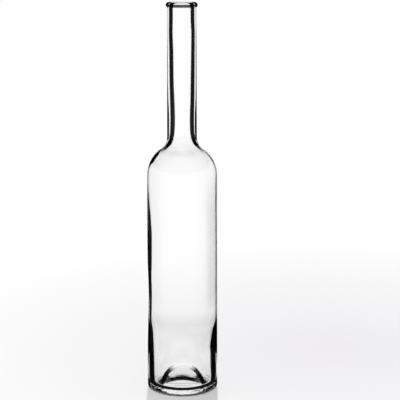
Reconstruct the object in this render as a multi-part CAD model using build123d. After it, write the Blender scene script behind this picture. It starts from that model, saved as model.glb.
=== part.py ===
from build123d import *
import math
import os

# A clear glass bottle with a long neck, blown in one piece. Millimetres, +Z up.
# The origin is on the bottle's axis, in the plane of the standing ring.

# Outside of the body, shoulder and neck
overall_height = 342.0
heel_radius = 31.1
body_taper = 0.65  # the body is this much slimmer in radius where the shoulder starts
shoulder_height = 192.4
shoulder_round = 28.25
throat_round = 13.6
neck_spread = 0.48  # the neck's line is this much wider in radius at the shoulder than under the ring

# Mouth, with a straight seat for a cork
bore_radius = 8.75
seat_length = 16.0
mouth_wall = 3.75
mouth_round = 1.0
ring_height = 4.1
ring_stand = 1.2
ring_top_round = 2.4
ring_under_round = 1.0

# Standing ring, heel and push-up
heel_round = 3.5
standing_width = 2.8
punt_depth = 13.7
base_thickness = 7.1
moat_height = 5.0
moat_radius = 22.3
inner_heel_rise = 6.5

# Walls, from the heel up
heel_wall = 4.8
thin_wall = 1.8
belly_wall = 2.4
shoulder_wall = 1.7
throat_wall = 5.0
inner_throat_round = 16.0

# Heights of the walls, as shares of the shoulder's height
heel_wall_share = 0.16
thin_wall_share = 0.34
belly_wall_share = 0.65

# The neck passage: shares of its length, from its foot up, each with the wall there as a share of the mouth's
neck_wall_shares = ((0.15, 1.36), (0.33, 1.22), (0.75, 1.05), (0.94, 0.95))

# How far the top and the foot of a bell curve run level, as shares of its width
push_up_level_share = (0.7, 0.15)
dome_level_share = (0.8, 0.15)
# Where a cubic curve's handles stand for a quarter of a circle, as a share of its radius
quarter_handle_share = 0.5523

# Sizes that follow from those above
neck_top_radius = bore_radius + mouth_wall
ring_radius = neck_top_radius + ring_stand
ring_foot = overall_height - ring_height
seat_foot = overall_height - mouth_round - seat_length
body_top_radius = heel_radius - body_taper
standing_outer_radius = heel_radius - heel_round
standing_inner_radius = standing_outer_radius - standing_width
dome_top = punt_depth + base_thickness
body_length = shoulder_height
neck_length = ring_foot - shoulder_height


def outward(run_in, rise):
    """Unit normal, pointing outwards, of a wall that leans in by run_in over a height of rise."""
    return Vector(rise, run_in).normalized()


def upward(normal):
    """Unit direction up along the wall with this normal."""
    return Vector(-normal.Y, normal.X)


body_normal = outward(body_taper, body_length)
neck_normal = outward(neck_spread, neck_length)


def body_radius_at(height):
    """Outer radius of the body's straight wall."""
    return heel_radius - body_taper * height / body_length


def neck_radius_at(height):
    """Outer radius of the neck's straight wall."""
    return neck_top_radius + neck_spread * (ring_foot - height) / neck_length


def arc_about(centre, radius, start, end):
    """The shorter arc about a centre from start to end."""
    middle = centre + ((start - centre) + (end - centre)).normalized() * radius
    return ThreePointArc(start, middle, end)


def shoulder_arcs(foot, crown_round, hollow_round, neck_point):
    """The shoulder's round from foot, and the hollow round that takes it into the neck's line through neck_point."""
    crown_centre = foot - body_normal * crown_round
    reach = crown_round + hollow_round
    down = -upward(neck_normal)
    start = neck_point + neck_normal * hollow_round - crown_centre
    along = start.dot(down)
    travel = -along - math.sqrt(along**2 - start.dot(start) + reach**2)
    hollow_centre = crown_centre + start + down * travel
    turn_point = crown_centre + (hollow_centre - crown_centre).normalized() * crown_round
    neck_foot = hollow_centre - neck_normal * hollow_round
    crown = arc_about(crown_centre, crown_round, foot, turn_point)
    hollow = arc_about(hollow_centre, hollow_round, turn_point, neck_foot)
    return [crown, hollow], neck_foot


def bell(top, foot, level_share):
    """A bell curve from a point on the axis out to its level foot."""
    width = foot.X - top.X
    top_share, foot_share = level_share
    top_handle = top + Vector(width * top_share, 0)
    foot_handle = foot - Vector(width * foot_share, 0)
    return Bezier(top, top_handle, foot_handle, foot)


def outside():
    """The outer outline, from the push-up's top on the axis round to the rim of the bore, and the push-up's top."""
    push_up_top = Vector(0, punt_depth)
    standing_inner = Vector(standing_inner_radius, 0)
    heel_corner = Vector(heel_radius, 0)
    body_top = Vector(body_top_radius, shoulder_height)
    ring_under = Vector(neck_top_radius, ring_foot)
    base = bell(push_up_top, standing_inner, push_up_level_share)
    body = FilletPolyline(standing_inner, heel_corner, body_top, radius=heel_round)
    shoulder, neck_foot = shoulder_arcs(body_top, shoulder_round, throat_round, ring_under)
    neck = Line(neck_foot, ring_under)
    ring = FilletPolyline(
        ring_under,
        Vector(ring_radius, ring_foot),
        Vector(ring_radius, overall_height),
        Vector(bore_radius, overall_height),
        Vector(bore_radius, seat_foot),
        radius=[ring_under_round, ring_top_round, mouth_round],
    )
    return [base, body, *shoulder, neck, ring], push_up_top


def neck_passage(foot, seat):
    """The inner wall of the neck, from the throat up to the cork seat."""
    points = [foot]
    for length_share, wall_share in neck_wall_shares:
        height = foot.Y + (seat.Y - foot.Y) * length_share
        points.append(Vector(neck_radius_at(height) - mouth_wall * wall_share, height))
    points.append(seat)
    return Spline(points, tangents=(upward(neck_normal), Vector(0, 1)))


def body_wall(foot, top):
    """The inner wall of the body, which is thick at the heel, thin above it and thicker again in the belly."""
    points = [foot]
    for share, wall in (
        (heel_wall_share, heel_wall),
        (thin_wall_share, thin_wall),
        (belly_wall_share, belly_wall),
    ):
        height = shoulder_height * share
        points.append(Vector(body_radius_at(height) - wall, height))
    points.append(top)
    return Spline(points, tangents=(Vector(0, 1), upward(body_normal)))


def inner_heel(wall_foot, moat):
    """The rounded inner corner between the body's wall and the lowest ring of the inside."""
    down_handle = wall_foot - Vector(0, (wall_foot.Y - moat.Y) * quarter_handle_share)
    out_handle = moat + Vector((wall_foot.X - moat.X) * quarter_handle_share, 0)
    return Bezier(wall_foot, down_handle, out_handle, moat)


def inside():
    """The inner outline, from the foot of the cork seat down to the dome's top on the axis, and that top."""
    seat = Vector(bore_radius, seat_foot)
    body_top = Vector(body_top_radius, shoulder_height) - body_normal * shoulder_wall
    neck_line = Vector(neck_top_radius, ring_foot) - neck_normal * throat_wall
    inner_round = shoulder_round - shoulder_wall
    shoulder, throat = shoulder_arcs(body_top, inner_round, inner_throat_round, neck_line)
    wall_foot_height = moat_height + inner_heel_rise
    wall_foot = Vector(body_radius_at(wall_foot_height) - heel_wall, wall_foot_height)
    moat = Vector(moat_radius, moat_height)
    dome = Vector(0, dome_top)
    edges = [
        neck_passage(throat, seat),
        *shoulder,
        body_wall(wall_foot, body_top),
        inner_heel(wall_foot, moat),
        bell(dome, moat, dome_level_share),
    ]
    return edges, dome


def turned(edges):
    """The solid that an outline in the XZ plane sweeps about the bottle's axis."""
    return revolve(Plane.XZ * make_face(edges), Axis.Z)


def glass_bottle():
    """The whole bottle as one piece of glass."""
    outer_edges, push_up_top = outside()
    inner_edges, dome = inside()
    return turned([*outer_edges, *inner_edges, Line(dome, push_up_top)])


def brimful():
    """The space that the bottle holds when it is filled to the foot of its mouth round."""
    inner_edges, dome = inside()
    brim = overall_height - mouth_round
    seat = Vector(bore_radius, seat_foot)
    rim = Vector(bore_radius, brim)
    centre = Vector(0, brim)
    return turned([*inner_edges, Line(seat, rim), Line(rim, centre), Line(centre, dome)])


os.makedirs("parts", exist_ok=True)
bottle = glass_bottle()
bottle.label = "glass_bottle"
export_step(bottle, "parts/glass_bottle.step")
print("glass, cubic millimetres:", round(bottle.volume))
print("brimful, cubic millimetres:", round(brimful().volume))
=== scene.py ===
import bpy
import math
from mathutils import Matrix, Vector, noise

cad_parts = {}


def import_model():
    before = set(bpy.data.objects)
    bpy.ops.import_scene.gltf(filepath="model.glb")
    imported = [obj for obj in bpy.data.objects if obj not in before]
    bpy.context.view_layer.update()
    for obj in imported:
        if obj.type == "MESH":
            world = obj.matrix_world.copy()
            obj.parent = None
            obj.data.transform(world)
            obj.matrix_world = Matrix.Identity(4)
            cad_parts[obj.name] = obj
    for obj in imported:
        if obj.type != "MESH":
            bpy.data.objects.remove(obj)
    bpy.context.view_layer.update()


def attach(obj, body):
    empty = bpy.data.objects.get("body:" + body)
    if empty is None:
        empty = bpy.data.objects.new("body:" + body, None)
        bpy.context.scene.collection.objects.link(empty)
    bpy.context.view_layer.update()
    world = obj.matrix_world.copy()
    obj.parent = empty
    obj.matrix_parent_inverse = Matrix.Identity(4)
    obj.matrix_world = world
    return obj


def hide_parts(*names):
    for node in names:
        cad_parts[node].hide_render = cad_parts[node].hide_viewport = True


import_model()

# A clear glass bottle with a long neck. Its sizes are in millimetres, the studio's are in metres
METRES = 0.001

# Outside of the body, shoulder and neck
overall_height = 342.0
heel_radius = 31.1
body_taper = 0.65  # the body is this much slimmer in radius where the shoulder starts
shoulder_height = 192.4
shoulder_round = 28.25
throat_round = 13.6
neck_spread = 0.48  # the neck's line is this much wider in radius at the shoulder than under the ring

# Mouth, with a straight seat for a cork
bore_radius = 8.75
seat_length = 16.0
mouth_wall = 3.75
mouth_round = 1.0
ring_height = 4.1
ring_stand = 1.2
ring_top_round = 2.4
ring_under_round = 1.0

# The cove under the mouth ring
ring_neck_round = 0.2
ring_neck_gap = 0.5
ring_under_handle = 0.6
ring_wide_handle = 0.9

# Standing ring, heel and push-up
heel_round = 3.5
standing_width = 2.8
punt_depth = 13.7
base_thickness = 7.1
moat_height = 4.5
moat_radius = 21.8

# How far the top and the foot of a bell curve run level, as shares of its width
punt_top_share = 0.7
punt_foot_share = 0.15
dome_top_share = 0.8
dome_foot_share = 0.15
# Where a cubic curve's handles stand for a quarter of a circle, as a share of its radius
quarter_handle_share = 0.5523

# Walls: height on the outside, and the wall there on the left and on the right
walls = (
    (10.0, 4.4, 4.2),
    (24.0, 4.2, 4.4),
    (38.0, 3.8, 4.2),
    (50.0, 3.1, 3.0),
    (65.0, 2.15, 1.4),
    (80.0, 2.15, 1.35),
    (98.0, 2.2, 1.35),
    (117.0, 2.7, 1.35),
    (134.0, 2.8, 1.35),
    (152.0, 2.3, 1.35),
    (170.0, 1.45, 1.35),
    (186.0, 1.1, 1.2),
    (199.0, 1.2, 1.1),
    (209.0, 2.0, 1.45),
    (214.0, 1.6, 1.55),
    (219.0, 2.4, 2.1),
    (224.0, 3.7, 3.3),
    (230.0, 4.8, 4.5),
    (240.0, 5.15, 4.7),
    (260.0, 4.7, 4.2),
    (275.0, 4.25, 3.95),
    (300.0, 4.0, 3.6),
    (316.0, 3.6, 3.4),
    (325.0, 3.75, 3.75),
)
wall_foot_height = walls[0][0]  # the lowest height that the inner wall reaches down to
height_slack = 0.01  # so that rounding leaves out no ring

# Dents of the outer surface: height, and the dent there on the left and on the right
dents = (
    (42.0, 0.0, 0.0),
    (66.0, 0.6, 0.0),
    (84.0, 1.0, 0.0),
    (98.0, 0.75, 0.0),
    (116.0, 0.15, 0.0),
    (134.0, 0.0, 0.0),
)

# The stippled ring that the bottle stands on
stipple_inset = 0.4
stipple_depth = 0.3
stipple_gain = 1.6
stipple_pitch = 1.9
stipple_top = 9.0
stipple_fade = 3.0
stipple_face_top = 3.4
stipple_roughness = 0.3
stipple_grains = 700.0  # to the metre
stipple_detail = 2.0
stipple_bump = 0.0006  # in metres

# Steps of the mesh round the axis, and along each run of the outlines
round_steps = 256
punt_steps = 22
standing_steps = 6
heel_steps = 12
stipple_steps = 12
wall_foot_steps = 4
body_steps = 50
shoulder_steps = 28
throat_steps = 18
neck_steps = 28
seat_steps = 12
ring_neck_steps = 4
cove_steps = 10
ring_top_steps = 12
rim_steps = 8
rim_wall_steps = 4
inner_heel_steps = 12
dome_steps = 22

# The glass, clear, and the painted dark that stands in for the shade of the dark studio seen in it
glass_index = 1.52
clear = (0.997, 0.998, 0.997, 1)
dark = (0.012, 0.011, 0.011, 1)

# Edges: height, and the share of the way out where the painted dark line, a stand-in for the shade at
# the glass's edge, starts on the left and on the right
edge_lines = (
    (1.0, 0.99, 0.99),
    (3.5, 0.93, 0.93),
    (7.0, 0.95, 0.95),
    (9.5, 0.97, 0.97),
    (13.0, 0.99, 1.0),
    (30.0, 0.99, 1.0),
    (38.0, 0.94, 0.93),
    (60.0, 0.97, 0.96),
    (68.0, 0.985, 1.0),
    (82.0, 0.97, 1.0),
    (98.0, 0.955, 1.0),
    (136.0, 0.95, 1.0),
    (148.0, 0.96, 0.995),
    (170.0, 0.965, 0.99),
    (184.0, 0.985, 0.985),
    (199.0, 0.99, 0.985),
    (203.0, 0.96, 0.985),
    (206.0, 0.90, 0.985),
    (211.0, 0.90, 0.985),
    (215.0, 0.96, 0.99),
    (219.5, 1.0, 1.0),
    (222.5, 1.0, 0.99),
    (225.5, 0.89, 0.88),
    (229.0, 0.87, 0.87),
    (243.0, 0.865, 0.865),
    (260.0, 0.915, 0.92),
    (275.0, 0.955, 0.945),
    (301.0, 0.965, 0.95),
    (325.0, 0.985, 0.975),
)
ring_edge_line = 0.85  # the mouth ring's, all round
edge_line_blur = 0.03
# A line that starts further out than this is fainter
faint_line_low = 0.96
faint_line_high = 0.98
faint_line_drop = 0.5

# The painted dark line round the mouth ring's front, a painted reflection of the dark studio in its
# underside, by height
ring_line_low = 338.6
ring_line_high = 340.4
ring_line_fade = 0.4
ring_line_shade = 0.97

# A wall's painted dark band, which stands in for the shade of the dark studio seen through the wall:
# where it starts and ends, by how edge on the inner surface is seen
band_start_slope = 0.265  # for each share of the radius that is hollow
band_start_drop = 0.009
band_end_full = 0.861
band_end_slope = 0.632  # for each share of the radius that is hollow
band_start_blur_share = 0.035  # of the share of the radius that is glass
band_end_blur_share = 0.08  # of the share of the radius that is glass
# The band is weaker in the throat, by height
throat_clear_low = 211.0
throat_clear_high = 217.0
throat_clear_fade = 6.0
throat_clear_share = 0.5
# The painted dark band round the lowest ring of the inside, in rings of the mesh from the wall's foot
# inwards
heel_line_ratio = 0.2  # the share of the radius that counts as hollow there
heel_line_first = 1
heel_line_rise_rings = 3
heel_line_last = 14
heel_line_fall_rings = 2

# Painted soft grey shade: one on the right of the body, and one across the belly, by height
side_shade_top = 196.0
side_shade_fade = 30.0
side_shade_foot = 72.0
side_shade_foot_fade = 14.0
side_shade_strength = 0.17
side_shade_facing_low = 0.09
side_shade_facing_high = 0.17
belly_shade_low = 58.0
belly_shade_high = 70.0
belly_shade_fade = 11.0
belly_shade_strength = 0.115

# The push-up's painted shade, its dark arch, its grey veil, its dark legs and its dark foot, by height
# and by how edge on the surface is seen
crown_low = 6.0
crown_high = 7.0
crown_start = 0.18
crown_end = 0.26
crown_blur = 0.01
veil_end = 0.42
veil_strength = 0.25
flank_low = 17.0
flank_high = 19.5
leg_start = 0.4
leg_start_blur = 0.03
leg_end = 0.9
leg_end_blur = 0.05
foot_low = 0.3
foot_high = 0.6

# The studio's white
white = (1, 1, 1, 1)

# The floor, which is white far from shade_centre and darker towards it by painted shade, with
# floor_colour its pale tone there
floor_radius = 30.0
floor_colour = (0.86, 0.845, 0.868, 1)
shade_centre = (0.15, 0.12, 0.0)
shade_reach = 0.45
# A share of the floor near the bottle glows, a painted light that pales its shadow
floor_glow = 0.15
# Painted shade: the dark that rays mirrored by the glass meet on the floor near the bottle, open in a
# window behind it
mirror_floor = 0.02
mirror_near_share = 1.1  # of the cards' distance
mirror_far_share = 1.6  # of the cards' distance
floor_window_angle = math.radians(20)
window_edge_share = 1.4

# The lamp and the soft light
lamp_share = 0.7
lamp_height = math.radians(50)
lamp_softness = math.radians(3)
soft_light = 1 - lamp_share

# The curved cards beside and in front of the bottle
card_dark = 0.005
card_distance = 0.08
card_foot = 0.002
front_card_foot = 0.012
front_card_share = 0.5
card_height = 0.6
card_white_low_share = 0.15
card_white_high_share = 0.9
card_steps = 48
window_half_angle = math.radians(25)

# The backdrop, and the dark above it
backdrop_distance = 0.9
backdrop_foot = 0.001
backdrop_top = 3.0
backdrop_low = 0.5
backdrop_high = 0.6
above_dark = 0.01

# Steps round the floor and the backdrop
circle_steps = 96

# The camera, fitted to the photograph's outline
camera_back = 1.185
camera_height = 0.404
camera_aside = 0.0156
camera_down = math.radians(11.15)
camera_lens = 124.3
camera_sensor = 36.0

# Sizes that follow from those above
neck_top_radius = bore_radius + mouth_wall
ring_radius = neck_top_radius + ring_stand
ring_foot = overall_height - ring_height
seat_foot = overall_height - mouth_round - seat_length
body_top_radius = heel_radius - body_taper
standing_outer_radius = heel_radius - heel_round
standing_inner_radius = standing_outer_radius - standing_width
dome_top = punt_depth + base_thickness
neck_length = ring_foot - shoulder_height
mouth_ratio = bore_radius / neck_top_radius

# The bottle's materials, in the order of its slots
OUTSIDE, INSIDE, STIPPLED = range(3)

# Sockets of a colour mix, whose names stand for several kinds of value
MIX_FIRST, MIX_SECOND, MIX_RESULT = 6, 7, 2


def point(radius, height):
    """A place in the half plane through the bottle's axis, or a step there."""
    return Vector((radius, height))


def outward(run_in, rise):
    """Unit normal, pointing outwards, of a wall that leans in by run_in over a height of rise."""
    return point(rise, run_in).normalized()


body_normal = outward(body_taper, shoulder_height)
neck_normal = outward(neck_spread, neck_length)


def on_body(height):
    """The place on the body's straight outside at a height."""
    return point(heel_radius - body_taper * height / shoulder_height, height)


def on_neck(height):
    """The place on the neck's straight outside at a height."""
    return point(neck_top_radius + neck_spread * (ring_foot - height) / neck_length, height)


def line(start, end, steps):
    """Points from start up to but not including end."""
    return [start.lerp(end, i / steps) for i in range(steps)]


def cubic(a, b, c, d, steps):
    """Points on a Bezier curve from a up to but not including d."""
    made = []
    for i in range(steps):
        t = i / steps
        s = 1 - t
        made.append(a * s**3 + b * 3 * s * s * t + c * 3 * s * t * t + d * t**3)
    return made


def arc(centre, start, end, steps):
    """Points on the shorter arc about centre, from start up to but not including end."""
    first = math.atan2(start.y - centre.y, start.x - centre.x)
    last = math.atan2(end.y - centre.y, end.x - centre.x)
    turn = (last - first + math.pi) % (2 * math.pi) - math.pi
    radius = (start - centre).length
    made = []
    for i in range(steps):
        angle = first + turn * i / steps
        made.append(centre + point(math.cos(angle), math.sin(angle)) * radius)
    return made


def corner(before, at, after, radius, steps):
    """The points of a round of this radius at a square or blunt corner."""
    back = (before - at).normalized()
    on = (after - at).normalized()
    half = back.angle(on) / 2
    reach = radius / math.tan(half)
    centre = at + (back + on).normalized() * radius / math.sin(half)
    return arc(centre, at + back * reach, at + on * reach, steps)


def shoulder_curve(foot, neck_point):
    """The shoulder's round from foot up into the neck's line through neck_point, and the neck's foot."""
    crown_centre = foot - body_normal * shoulder_round
    reach = shoulder_round + throat_round
    down = point(neck_normal.y, -neck_normal.x)
    start = neck_point + neck_normal * throat_round - crown_centre
    along = start.dot(down)
    travel = -along - math.sqrt(along**2 - start.dot(start) + reach**2)
    hollow_centre = crown_centre + start + down * travel
    turn_point = crown_centre + (hollow_centre - crown_centre).normalized() * shoulder_round
    neck_foot = hollow_centre - neck_normal * throat_round
    crown = arc(crown_centre, foot, turn_point, shoulder_steps)
    hollow = arc(hollow_centre, turn_point, neck_foot, throat_steps)
    return crown + hollow, neck_foot


def bell(top, foot, top_share, foot_share, steps):
    """A bell curve from a point on the axis out to its level foot, without the foot."""
    width = foot.x - top.x
    top_handle = top + point(width * top_share, 0)
    foot_handle = foot - point(width * foot_share, 0)
    return cubic(top, top_handle, foot_handle, foot, steps)


def slopes(heights, values):
    """Slopes at the stations of a smooth curve that doesn't overshoot them."""
    steps = []
    for i in range(len(heights) - 1):
        steps.append((values[i + 1] - values[i]) / (heights[i + 1] - heights[i]))
    made = [steps[0]]
    for before, after in zip(steps, steps[1:]):
        level = before * after <= 0
        made.append(0.0 if level else 2 * before * after / (before + after))
    made.append(steps[-1])
    return made


def smooth_value(values, tangents, i, gap, t):
    """The value a share t of the way over the gap from station i to the next."""
    rest = 1 - t
    start = values[i] * (1 + 2 * t) * rest**2 + tangents[i] * gap * t * rest**2
    end = values[i + 1] * (3 - 2 * t) * t**2 - tangents[i + 1] * gap * rest * t**2
    return start + end


def reader(table):
    """A function that gives the values of a table's left and right columns at a height."""
    heights, *columns = zip(*table)
    tangents = [slopes(heights, column) for column in columns]

    def at(height):
        i = 0
        while i < len(heights) - 2 and height > heights[i + 1]:
            i += 1
        gap = heights[i + 1] - heights[i]
        t = min(max((height - heights[i]) / gap, 0.0), 1.0)
        return [smooth_value(column, tangent, i, gap, t) for column, tangent in zip(columns, tangents)]

    return at


wall_at = reader(walls)
dent_at = reader(dents)
edge_at = reader(edge_lines)


def outer_base():
    """The outer outline of the base, from the push-up's top out to the heel's round."""
    standing_inner = point(standing_inner_radius, 0)
    heel_corner = point(heel_radius, 0)
    body_top = point(body_top_radius, shoulder_height)
    push_up = bell(point(0, punt_depth), standing_inner, punt_top_share, punt_foot_share, punt_steps)
    standing = line(standing_inner, point(standing_outer_radius, 0), standing_steps)
    return push_up + standing + corner(standing_inner, heel_corner, body_top, heel_round, heel_steps)


def outer_wall():
    """The outer outline from the heel's round up to the foot of the cork's seat."""
    body_top = point(body_top_radius, shoulder_height)
    shoulder, neck_foot = shoulder_curve(body_top, point(neck_top_radius, ring_foot))
    low = line(on_body(heel_round), on_body(stipple_top), stipple_steps)
    low += line(on_body(stipple_top), on_body(wall_foot_height), wall_foot_steps)
    body = line(on_body(wall_foot_height), body_top, body_steps)
    return low + body + shoulder + line(neck_foot, on_neck(seat_foot), neck_steps)


def outer_mouth():
    """The outer outline from the seat's foot up, over the ring and down inside to the seat's foot."""
    below_ring = on_neck(ring_foot - ring_neck_gap)
    ring_under = point(neck_top_radius, ring_foot)
    ring_low = point(ring_radius, ring_foot)
    ring_high = point(ring_radius, overall_height)
    ring_widest = point(ring_radius, overall_height - ring_top_round)
    rim = point(bore_radius, overall_height)
    rim_foot = point(bore_radius, overall_height - mouth_round)
    seat = point(bore_radius, seat_foot)
    cove_start = ring_under + point(ring_neck_round, 0)
    under_handle = ring_under + point(ring_under_handle, 0)
    wide_handle = ring_widest - point(0, ring_wide_handle)
    mouth = line(on_neck(seat_foot), below_ring, seat_steps)
    mouth += corner(below_ring, ring_under, ring_low, ring_neck_round, ring_neck_steps)
    mouth += cubic(cove_start, under_handle, wide_handle, ring_widest, cove_steps)
    mouth += corner(ring_low, ring_high, rim, ring_top_round, ring_top_steps)
    mouth += corner(ring_high, rim, seat, mouth_round, rim_steps)
    return mouth + line(rim_foot, seat, rim_wall_steps)


def base_inside(wall_foot):
    """The inner outline from the wall's foot, by its lowest ring, to just short of the dome's top."""
    moat = point(moat_radius, moat_height)
    down_handle = wall_foot - point(0, (wall_foot.y - moat.y) * quarter_handle_share)
    out_handle = moat + point((wall_foot.x - moat.x) * quarter_handle_share, 0)
    foot = cubic(wall_foot, down_handle, out_handle, moat, inner_heel_steps)
    dome = bell(point(0, dome_top), moat, dome_top_share, dome_foot_share, dome_steps)
    dome.reverse()
    return foot + [moat] + dome[:-1]


def with_normals(outline):
    """Each point of an open outline with its unit normal, to the right of the outline's direction."""
    made = []
    for i, at in enumerate(outline):
        before = outline[max(i - 1, 0)]
        after = outline[min(i + 1, len(outline) - 1)]
        step = (after - before).normalized()
        made.append((at, point(step.y, -step.x)))
    return made


class Ring:
    """One ring of the mesh round the axis, with the marks that the looks of the glass, its painted
    shade, are made from.
    """

    inner = False  # as the inside of the walls, the mouth and the push-up are
    shift = 0.0  # how far the surface moves along its normal on the right, and against it on the left
    ratio = (1.0, 1.0)  # inner radius over outer radius, left and right
    edge = (1.0, 1.0)  # where the painted dark line at the edge starts, left and right
    band = 0.0  # how much of the wall's painted dark band shows
    side_shade = 0.0  # how much of the painted grey shade on the right shows
    flank = 0.0  # 1 on the dome's flank, where the push-up's painted dark legs show
    foot = 0.0  # 1 round the push-up's foot, where painted dark shows
    crown = 0.0  # 1 on the push-up's crown, where its painted dark arch shows
    line = 0.0  # how dark the painted line round the mouth ring is
    belly = 0.0  # how dark the painted grey shade across the belly is

    def __init__(self, at, normal, **marks):
        self.at = at
        self.normal = normal
        vars(self).update(marks)


def between(pair, side):
    """A value round a ring that goes smoothly from the left to the right."""
    left, right = pair
    return (left + right) / 2 + (right - left) / 2 * side


def within(height, low, high, blur):
    """1 between two heights and 0 outside them, with a ramp as long as blur at each."""
    return min(max(min(height - low, high - height) / blur + 0.5, 0.0), 1.0)


def ramp(value, start, end):
    """0 up to start, 1 from end on and straight in between, whichever of the two is larger."""
    return min(max((value - start) / (end - start), 0.0), 1.0)


def push_up_ring(at, normal):
    """A ring on the underside of the push-up."""
    foot = ramp(at.y, foot_high, foot_low)
    crown = ramp(at.y, crown_low, crown_high)
    return Ring(at, normal, inner=True, foot=foot, crown=crown)


def plain_ring(at, normal):
    """A ring on the flat that the bottle stands on, the heel's round or the outside of the mouth."""
    on_ring = at.y >= ring_foot + ring_under_round
    edge = (ring_edge_line, ring_edge_line) if on_ring else edge_at(at.y)
    # painted dark line round the mouth ring's front
    shade = ring_line_shade * within(at.y, ring_line_low, ring_line_high, ring_line_fade)
    return Ring(at, normal, edge=edge, line=shade)


def mouth_ring(at, normal):
    """A ring of the mouth, inside or outside."""
    if at.x < bore_radius + mouth_round:
        return Ring(at, normal, inner=True, ratio=(mouth_ratio, mouth_ratio), band=1.0)
    return plain_ring(at, normal)


def wall_rings(at, normal):
    """The rings on the outside and on the inside of the wall."""
    left, right = wall_at(at.y)
    left_dent, right_dent = dent_at(at.y)
    edge = edge_at(at.y)
    shift = (left_dent - right_dent) / 2
    ratio = (1 - left * normal.x / at.x, 1 - right * normal.x / at.x)
    at = at - normal * (left_dent + right_dent) / 2
    outer = Ring(at, normal, edge=edge, shift=shift)
    cleared = within(at.y, throat_clear_low, throat_clear_high, throat_clear_fade)
    # painted grey shade on the right of the body, and across the belly
    side_shade = ramp(at.y, side_shade_top, side_shade_top - side_shade_fade)
    side_shade *= ramp(at.y, side_shade_foot, side_shade_foot + side_shade_foot_fade)
    marks = {
        "inner": True,
        "shift": shift + (left - right) / 2,
        "ratio": ratio,
        "band": 1 - throat_clear_share * cleared,
        "side_shade": side_shade,
        "belly": belly_shade_strength * within(at.y, belly_shade_low, belly_shade_high, belly_shade_fade),
    }
    return outer, Ring(at - normal * ((left + right) / 2), normal, **marks)


def base_rings(foot):
    """The rings of the inside from the one at the wall's foot down and in to the dome."""
    made = []
    for i, (at, normal) in enumerate(with_normals(base_inside(foot.at))):
        wall_share = 1 - ramp(i, heel_line_first, heel_line_first + heel_line_rise_rings)
        marks = {
            "inner": True,
            "shift": foot.shift * (1 - ramp(i, 0, inner_heel_steps)),
            "ratio": [heel_line_ratio + (side - heel_line_ratio) * wall_share for side in foot.ratio],
            "band": ramp(i, heel_line_last, heel_line_last - heel_line_fall_rings),
            "flank": ramp(at.y, flank_high, flank_low) if i > inner_heel_steps else 0.0,
        }
        made.append(Ring(at, -normal, **marks))
    return made


def all_rings():
    """All rings, from round the push-up's top out and up, over the mouth and down to the dome's top."""
    base = outer_base()
    wall = outer_wall()
    placed = with_normals(base + wall + outer_mouth())
    base_end = len(base)
    wall_end = base_end + len(wall)
    outer = [push_up_ring(at, normal) for at, normal in placed[1:punt_steps]]
    outer += [plain_ring(at, normal) for at, normal in placed[punt_steps:base_end]]
    inner = []
    for at, normal in placed[base_end:wall_end]:
        outer_ring, inner_ring = wall_rings(at, normal)
        outer.append(outer_ring)
        if outer_ring.at.y > wall_foot_height - height_slack:
            inner.append(inner_ring)
    outer += [mouth_ring(at, normal) for at, normal in placed[wall_end:]]
    inner.reverse()
    foot = inner.pop()
    return outer + inner + base_rings(foot)


def stippled(at, angle):
    """How far the surface dips at a place on the standing ring or the heel's round."""
    if at.x < standing_inner_radius + stipple_inset or at.y > stipple_top:
        return 0.0
    place = Vector((at.x * math.cos(angle), at.x * math.sin(angle), at.y)) / stipple_pitch
    share = ramp(at.y, stipple_top, stipple_top - stipple_fade)
    return stipple_depth * share * max(0.0, noise.noise(place) * stipple_gain)


def marks_at(ring, side):
    """What the materials read at one place round a ring."""
    return {
        "wall_ratio": between(ring.ratio, side),
        "edge_line": between(ring.edge, side),
        "wall_band": ring.band,
        "side_shade": ring.side_shade * between((0.0, side_shade_strength), side),
        "dome_flank": ring.flank,
        "punt_foot": ring.foot,
        "crown": ring.crown,
        "ring_line": ring.line,
        "belly_shade": ring.belly,
    }


def neighbours(first):
    """The number of each vertex round the ring that starts at first, with that of the one after it."""
    return [(first + j, first + (j + 1) % round_steps) for j in range(round_steps)]


def slot_of(ring):
    """The material slot of the faces that lead up to a ring."""
    if ring.inner:
        return INSIDE
    return STIPPLED if ring.at.y < stipple_face_top else OUTSIDE


def bottle_faces(rings, tip):
    """The faces from vertex 0, the push-up's top, to vertex tip, the dome's top, and their slots."""
    faces = [(0, after, this) for this, after in neighbours(1)]
    slots = [INSIDE] * round_steps
    low = 1
    for ring in rings[1:]:
        high = low + round_steps
        for (a, b), (d, c) in zip(neighbours(low), neighbours(high)):
            faces.append((a, b, c, d))
        slots += [slot_of(ring)] * round_steps
        low = high
    faces += [(this, after, tip) for this, after in neighbours(low)]
    slots += [INSIDE] * round_steps
    return faces, slots


def bottle_mesh():
    """The closed glass surface, with the marks as attributes."""
    rings = all_rings()
    push_up_tip = Ring(point(0, punt_depth), point(0, -1), inner=True, crown=1.0)
    dome_tip = Ring(point(0, dome_top), point(0, 1), inner=True)
    verts = [(0, 0, punt_depth * METRES)]
    marks = [marks_at(push_up_tip, 0.0)]
    for ring in rings:
        for j in range(round_steps):
            angle = 2 * math.pi * j / round_steps
            side = math.cos(angle)
            at = ring.at + ring.normal * ring.shift * side
            if not ring.inner:
                at = at - ring.normal * stippled(ring.at, angle)
            verts.append((at.x * side * METRES, at.x * math.sin(angle) * METRES, at.y * METRES))
            marks.append(marks_at(ring, side))
    verts.append((0, 0, dome_top * METRES))
    marks.append(marks_at(dome_tip, 0.0))
    faces, slots = bottle_faces(rings, len(verts) - 1)
    mesh = bpy.data.meshes.new("glass_bottle_visual")
    mesh.from_pydata(verts, [], faces)
    for name in marks[0]:
        made = mesh.attributes.new(name, "FLOAT", "POINT")
        made.data.foreach_set("value", [mark[name] for mark in marks])
    mesh.polygons.foreach_set("material_index", slots)
    mesh.polygons.foreach_set("use_smooth", [True] * len(faces))
    mesh.update()
    return mesh


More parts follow.
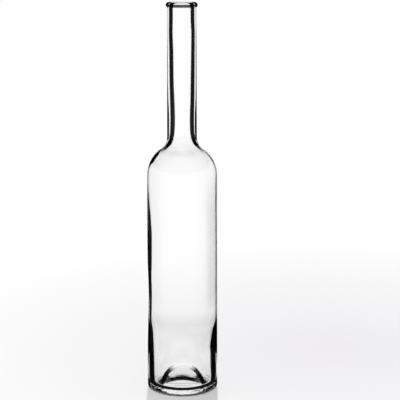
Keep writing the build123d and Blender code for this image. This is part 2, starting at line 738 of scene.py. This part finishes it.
def feed(tree, socket, value):
    """Set a socket to a value, or link it to another socket."""
    if isinstance(value, (int, float, tuple)):
        socket.default_value = value
    else:
        tree.links.new(value, socket)


def maths(tree, operation, first, second=0.0):
    """The result of one operation on numbers or sockets."""
    made = tree.nodes.new("ShaderNodeMath")
    made.operation = operation
    feed(tree, made.inputs[0], first)
    feed(tree, made.inputs[1], second)
    return made.outputs[0]


def plus(tree, first, second):
    return maths(tree, "ADD", first, second)


def minus(tree, first, second):
    return maths(tree, "SUBTRACT", first, second)


def times(tree, first, second):
    return maths(tree, "MULTIPLY", first, second)


def larger(tree, first, second):
    return maths(tree, "MAXIMUM", first, second)


def smaller(tree, first, second):
    return maths(tree, "MINIMUM", first, second)


def rest_of(tree, value):
    """1 less a value."""
    return minus(tree, 1.0, value)


def fade(tree, value, low, high):
    """A smooth step from 0 to 1 as value goes from low to high."""
    made = tree.nodes.new("ShaderNodeMapRange")
    made.interpolation_type = "SMOOTHSTEP"
    feed(tree, made.inputs["Value"], value)
    feed(tree, made.inputs["From Min"], low)
    feed(tree, made.inputs["From Max"], high)
    return made.outputs["Result"]


def soft_step(tree, value, place, blur):
    """A smooth step from 0 to 1 that reaches over blur on each side of a place."""
    if isinstance(place, float):
        return fade(tree, value, place - blur, place + blur)
    return fade(tree, value, minus(tree, place, blur), plus(tree, place, blur))


def soft_band(tree, value, start, start_blur, end, end_blur):
    """1 where value lies between start and end, with a smooth step at each."""
    starts = soft_step(tree, value, start, start_blur)
    ends = soft_step(tree, value, end, end_blur)
    return times(tree, starts, rest_of(tree, ends))


def grey(level):
    return (level, level, level, 1)


def mixed(tree, factor, first, second):
    """The first colour where factor is 0 and the second where it is 1."""
    made = tree.nodes.new("ShaderNodeMix")
    made.data_type = "RGBA"
    feed(tree, made.inputs["Factor"], factor)
    feed(tree, made.inputs[MIX_FIRST], first)
    feed(tree, made.inputs[MIX_SECOND], second)
    return made.outputs[MIX_RESULT]


def new_material(name):
    """A new material, with its node tree and the socket that takes its surface."""
    material = bpy.data.materials.new(name)
    material.use_nodes = True
    tree = material.node_tree
    tree.nodes.clear()
    out = tree.nodes.new("ShaderNodeOutputMaterial")
    return material, tree, out.inputs["Surface"]


def attribute(tree, name):
    """One of the marks on the mesh."""
    made = tree.nodes.new("ShaderNodeAttribute")
    made.attribute_name = name
    return made.outputs["Fac"]


def edge_on(tree):
    """0 where a surface is seen square on, up to 1 where it is seen edge on."""
    weight = tree.nodes.new("ShaderNodeLayerWeight")
    weight.inputs["Blend"].default_value = 0.5
    return weight.outputs["Facing"]


def seen_from_behind(tree):
    """1 where a ray meets the surface from inside the glass, and 0 where it comes through the air."""
    return tree.nodes.new("ShaderNodeNewGeometry").outputs["Backfacing"]


def glass(tree, surface, shade, roughness=0.0):
    """Make a surface of glass that is clear where shade is 0 and painted dark where it is 1."""
    shader = tree.nodes.new("ShaderNodeBsdfGlass")
    shader.inputs["IOR"].default_value = glass_index
    shader.inputs["Roughness"].default_value = roughness
    feed(tree, shader.inputs["Color"], mixed(tree, shade, clear, dark))
    feed(tree, surface, shader.outputs[0])
    return shader


def edge_shade(tree):
    """Painted shade: 1 near the outer surface's edges, from where edge_lines says, and less if that is
    far out.
    """
    reach = attribute(tree, "edge_line")
    left_over = larger(tree, rest_of(tree, times(tree, reach, reach)), 0.0)
    start = rest_of(tree, maths(tree, "SQRT", left_over))
    edge = soft_step(tree, edge_on(tree), start, edge_line_blur)
    faint = fade(tree, reach, faint_line_low, faint_line_high)
    return times(tree, edge, rest_of(tree, times(tree, faint, faint_line_drop)))


def outside_glass():
    """The outer surface, with painted dark edges and a painted dark line round the mouth ring's front.
    """
    material, tree, surface = new_material("clear_glass_outside")
    from_air = rest_of(tree, seen_from_behind(tree))
    ring_line = times(tree, attribute(tree, "ring_line"), from_air)
    glass(tree, surface, larger(tree, edge_shade(tree), ring_line))
    return material


def wall_shade(tree, facing):
    """The painted dark band of a wall, standing in for shade, between angles of view that follow from
    its thickness.
    """
    ratio = attribute(tree, "wall_ratio")
    wall = rest_of(tree, ratio)
    start = minus(tree, times(tree, ratio, band_start_slope), band_start_drop)
    end = minus(tree, band_end_full, times(tree, ratio, band_end_slope))
    start_blur = times(tree, wall, band_start_blur_share)
    end_blur = times(tree, wall, band_end_blur_share)
    band = soft_band(tree, facing, start, start_blur, end, end_blur)
    return times(tree, band, attribute(tree, "wall_band"))


def soft_painted_shade(tree, facing):
    """The painted soft grey shade on the right of the body and across the belly."""
    side_shade = times(tree, fade(tree, facing, side_shade_facing_low, side_shade_facing_high), attribute(tree, "side_shade"))
    return larger(tree, side_shade, attribute(tree, "belly_shade"))


def crown_shade(tree, facing):
    """The painted dark arch over the push-up, with a thin painted grey veil inside it."""
    arch = soft_band(tree, facing, crown_start, crown_blur, crown_end, crown_blur)
    veil_starts = soft_step(tree, facing, crown_end, crown_blur)
    veil_ends = fade(tree, facing, crown_end, veil_end)
    veil = times(tree, veil_starts, rest_of(tree, veil_ends))
    both = plus(tree, arch, times(tree, veil, veil_strength))
    return times(tree, both, attribute(tree, "crown"))


def leg_shade(tree, facing):
    """The painted dark legs of the push-up, on the flank of the dome."""
    legs = soft_band(tree, facing, leg_start, leg_start_blur, leg_end, leg_end_blur)
    return times(tree, legs, attribute(tree, "dome_flank"))


def inside_glass():
    """The inner surface, with the painted dark bands, painted grey shade and painted lines that stand in
    for a dark studio seen in the glass.
    """
    material, tree, surface = new_material("clear_glass_inside")
    facing = edge_on(tree)
    from_glass = seen_from_behind(tree)
    band = larger(tree, wall_shade(tree, facing), soft_painted_shade(tree, facing))
    front = times(tree, larger(tree, band, crown_shade(tree, facing)), from_glass)
    legs = larger(tree, attribute(tree, "punt_foot"), leg_shade(tree, facing))
    rear = times(tree, rest_of(tree, from_glass), legs)
    glass(tree, surface, larger(tree, front, rear))
    return material


def stippled_glass():
    """The fine knurls of the standing ring scatter the light that the floor throws up; its edges get the
    outer surface's painted dark.
    """
    material, tree, surface = new_material("clear_glass_stippled")
    shader = glass(tree, surface, edge_shade(tree), stipple_roughness)
    place = tree.nodes.new("ShaderNodeTexCoord")
    grain = tree.nodes.new("ShaderNodeTexNoise")
    grain.inputs["Scale"].default_value = stipple_grains
    grain.inputs["Detail"].default_value = stipple_detail
    feed(tree, grain.inputs["Vector"], place.outputs["Object"])
    bump = tree.nodes.new("ShaderNodeBump")
    bump.inputs["Strength"].default_value = 1.0
    bump.inputs["Distance"].default_value = stipple_bump
    feed(tree, bump.inputs["Height"], grain.outputs["Fac"])
    feed(tree, shader.inputs["Normal"], bump.outputs["Normal"])
    return material


def bottle():
    """The bottle, which is one piece of glass."""
    piece = bpy.data.objects.new("glass_bottle_shell", bottle_mesh())
    bpy.context.scene.collection.objects.link(piece)
    piece.data.materials.append(outside_glass())
    piece.data.materials.append(inside_glass())
    piece.data.materials.append(stippled_glass())
    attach(piece, "root")
    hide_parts("glass_bottle")


def stage_object(name, verts, faces, material):
    """A piece of the studio."""
    mesh = bpy.data.meshes.new(name)
    mesh.from_pydata(verts, [], faces)
    mesh.materials.append(material)
    piece = bpy.data.objects.new(name, mesh)
    bpy.context.scene.collection.objects.link(piece)
    return piece


def glow(tree, colour):
    """A shader that gives off a colour."""
    shader = tree.nodes.new("ShaderNodeEmission")
    feed(tree, shader.inputs["Color"], colour)
    return shader.outputs[0]


def position(tree):
    return tree.nodes.new("ShaderNodeNewGeometry").outputs["Position"]


def parts_of(tree, vector):
    """The X, Y and Z of a vector, by those names."""
    made = tree.nodes.new("ShaderNodeSeparateXYZ")
    feed(tree, made.inputs[0], vector)
    return made.outputs


def distance(tree, vector, place):
    """How far a vector's end is from a place."""
    made = tree.nodes.new("ShaderNodeVectorMath")
    made.operation = "DISTANCE"
    feed(tree, made.inputs[0], vector)
    feed(tree, made.inputs[1], place)
    return made.outputs["Value"]


def floor_mirror_shade(tree, place, mirrored):
    """Painted shade: 1 on the floor near the bottle for mirrored rays, but 0 in a window that widens
    behind it.
    """
    away = distance(tree, place, (0, 0, 0))
    near_end = card_distance * mirror_near_share
    far_end = card_distance * mirror_far_share
    near = rest_of(tree, fade(tree, away, near_end, far_end))
    parts = parts_of(tree, place)
    behind = times(tree, parts["Y"], math.tan(floor_window_angle))
    aside = minus(tree, maths(tree, "ABSOLUTE", parts["X"]), behind)
    aside = larger(tree, aside, times(tree, parts["Y"], -1.0))
    edge = heel_radius * METRES
    closed = fade(tree, aside, edge, edge * window_edge_share)
    return times(tree, times(tree, near, mirrored), closed)


def floor_material():
    """Diffuse near the bottle, with a painted glow that pales its shadow and painted dark for mirrored
    rays, and giving off its own light where it fades into the background.
    """
    material, tree, surface = new_material("pale_floor")
    place = position(tree)
    path = tree.nodes.new("ShaderNodeLightPath").outputs
    far = smaller(tree, maths(tree, "DIVIDE", distance(tree, place, shade_centre), shade_reach), 1.0)
    colour = mixed(tree, far, floor_colour, white)
    lit = tree.nodes.new("ShaderNodeBsdfDiffuse")
    feed(tree, lit.inputs["Color"], colour)
    shade = floor_mirror_shade(tree, place, smaller(tree, path["Glossy Depth"], 1.0))
    glowing = glow(tree, mixed(tree, shade, colour, grey(mirror_floor)))
    share = plus(tree, times(tree, far, 1 - floor_glow), floor_glow)
    share = larger(tree, share, path["Is Glossy Ray"])
    seen = larger(tree, path["Is Camera Ray"], path["Is Glossy Ray"])
    seen = larger(tree, seen, path["Is Transmission Ray"])
    mix = tree.nodes.new("ShaderNodeMixShader")
    feed(tree, mix.inputs[0], times(tree, share, seen))
    feed(tree, mix.inputs[1], lit.outputs[0])
    feed(tree, mix.inputs[2], glowing)
    feed(tree, surface, mix.outputs[0])
    return material


def circle(radius):
    """Places on a circle round the bottle, as pairs of X and Y."""
    made = []
    for i in range(circle_steps):
        angle = 2 * math.pi * i / circle_steps
        made.append((radius * math.cos(angle), radius * math.sin(angle)))
    return made


def floor():
    """A pale floor that fades into the white background and takes the shadow, with painted dark near the
    bottle for rays that the glass mirrors.
    """
    corners = [(x, y, 0) for x, y in circle(floor_radius)]
    stage_object("studio_floor", corners, [tuple(range(circle_steps))], floor_material())


def back_lamp():
    """A soft sun behind the bottle, which throws its shadow forward along the floor."""
    data = bpy.data.lights.new("back_lamp", "SUN")
    data.energy = lamp_share * math.pi / math.sin(lamp_height)
    data.angle = lamp_softness
    lamp = bpy.data.objects.new("back_lamp", data)
    bpy.context.scene.collection.objects.link(lamp)
    lamp.rotation_euler = (-(math.pi / 2 - lamp_height), 0, 0)
    lamp.visible_glossy = False
    lamp.visible_transmission = False


def card_mesh(side):
    """The corners and faces of one card, which curves from behind the bottle round to its front."""
    verts = []
    for i in range(card_steps + 1):
        angle = window_half_angle + (math.pi - window_half_angle) * i / card_steps
        x = side * card_distance * math.sin(angle)
        y = card_distance * math.cos(angle)
        foot = front_card_foot if y < -front_card_share * card_distance else card_foot
        verts += [(x, y, foot), (x, y, card_height)]
    faces = [(2 * i, 2 * i + 2, 2 * i + 3, 2 * i + 1) for i in range(card_steps)]
    return verts, faces


def cards():
    """A curved card on each side, dark beside the bottle and white in front, for mirrored rays."""
    material, tree, surface = new_material("dark_card")
    forward = times(tree, parts_of(tree, position(tree))["Y"], -1.0)
    low = card_white_low_share * card_distance
    high = card_white_high_share * card_distance
    front = fade(tree, forward, low, high)
    feed(tree, surface, glow(tree, mixed(tree, front, grey(card_dark), white)))
    for side in (-1, 1):
        verts, faces = card_mesh(side)
        card = stage_object("dark_card", verts, faces, material)
        card.visible_camera = False
        card.visible_diffuse = False
        card.visible_transmission = False
        card.visible_shadow = False


def backdrop():
    """A white wall round the table, dark above, which only rays bent or mirrored by the glass see."""
    material, tree, surface = new_material("white_backdrop")
    height = parts_of(tree, position(tree))["Z"]
    above = fade(tree, height, backdrop_low, backdrop_high)
    feed(tree, surface, glow(tree, mixed(tree, above, white, grey(above_dark))))
    verts = []
    for x, y in circle(backdrop_distance):
        verts += [(x, y, backdrop_foot), (x, y, backdrop_top)]
    faces = []
    for i in range(circle_steps):
        j = (i + 1) % circle_steps
        faces.append((2 * i, 2 * j, 2 * j + 1, 2 * i + 1))
    wall = stage_object("backdrop", verts, faces, material)
    wall.visible_camera = False
    wall.visible_diffuse = False
    wall.visible_shadow = False


def world():
    """White, a soft light to the floor, and dark to rays that the glass sends past the backdrop."""
    made = bpy.data.worlds.new("studio")
    bpy.context.scene.world = made
    made.use_nodes = True
    tree = made.node_tree
    tree.nodes.clear()
    out = tree.nodes.new("ShaderNodeOutputWorld")
    back = tree.nodes.new("ShaderNodeBackground")
    path = tree.nodes.new("ShaderNodeLightPath").outputs
    bent = larger(tree, path["Is Glossy Ray"], path["Is Transmission Ray"])
    unbent = mixed(tree, path["Is Diffuse Ray"], white, grey(soft_light))
    feed(tree, back.inputs["Color"], mixed(tree, bent, unbent, grey(above_dark)))
    feed(tree, out.inputs["Surface"], back.outputs[0])


def camera():
    """The camera, where the photograph's outline puts it."""
    data = bpy.data.cameras.new("camera")
    data.sensor_width = camera_sensor
    data.lens = camera_lens
    made = bpy.data.objects.new("camera", data)
    bpy.context.scene.collection.objects.link(made)
    made.location = (camera_aside, -camera_back, camera_height)
    made.rotation_euler = (math.pi / 2 - camera_down, 0, 0)
    bpy.context.scene.camera = made


bottle()
floor()
back_lamp()
cards()
backdrop()
world()
camera()
bpy.context.scene.view_settings.view_transform = "Standard"
